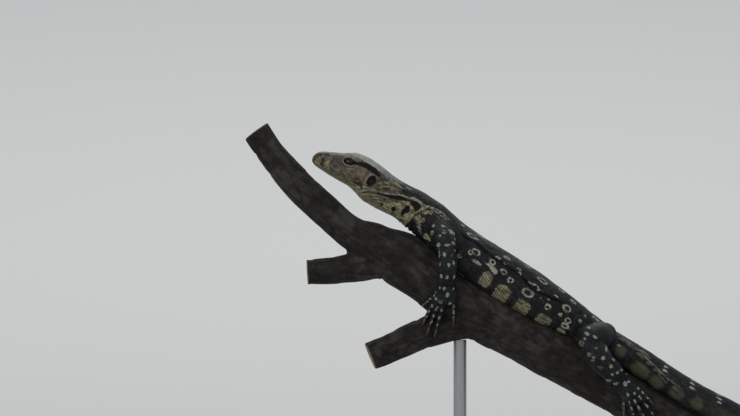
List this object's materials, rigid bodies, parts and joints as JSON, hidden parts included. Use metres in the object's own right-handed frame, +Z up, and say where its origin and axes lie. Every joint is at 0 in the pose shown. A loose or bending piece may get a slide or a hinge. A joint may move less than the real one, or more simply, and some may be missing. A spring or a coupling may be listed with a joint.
{
  "type": "water monitor lizard",
  "caption": "Life-size still model of a young water monitor lizard climbing head up along a sloping cut branch, its tail hanging clear, held over a flat base by plain rods.",
  "frame": {"origin": "centre of the base's underside, on the surface that the stand rests on", "axes": "+Z up; -X the way the animal faces; -Y its left side, which the picture shows"},
  "size_m": [0.6186, 0.25, 0.6778],
  "materials": {
    "eye": "wet gloss, almost black",
    "head_skin": "matte small scales, grey-brown",
    "body_skin": "satin small scales, blue-black with cream spots",
    "perch": "rough dark bark",
    "base": "satin lacquer",
    "rod": "brushed"
  },
  "bodies": {
    "root": {"head": "head_skin", "neck": "body_skin", "torso": "body_skin", "tail_base": "body_skin", "tail_middle": "body_skin", "tail_lower": "body_skin", "tail_tip": "body_skin", "eye_left": "eye", "eye_right": "eye", "upper_arm_left": "body_skin", "forearm_left": "body_skin", "hand_left": "body_skin", "thigh_left": "body_skin", "shank_left": "body_skin", "foot_left": "body_skin", "upper_arm_right": "body_skin", "forearm_right": "body_skin", "hand_right": "body_skin", "thigh_right": "body_skin", "shank_right": "body_skin", "foot_right": "body_skin", "perch_limb": "perch", "perch_trunk": "perch", "perch_side_level": "perch", "perch_side_low": "perch", "stand_base": "base", "stand_rod_front": "rod", "stand_rod_back": "rod"}
  },
  "joints": []
}
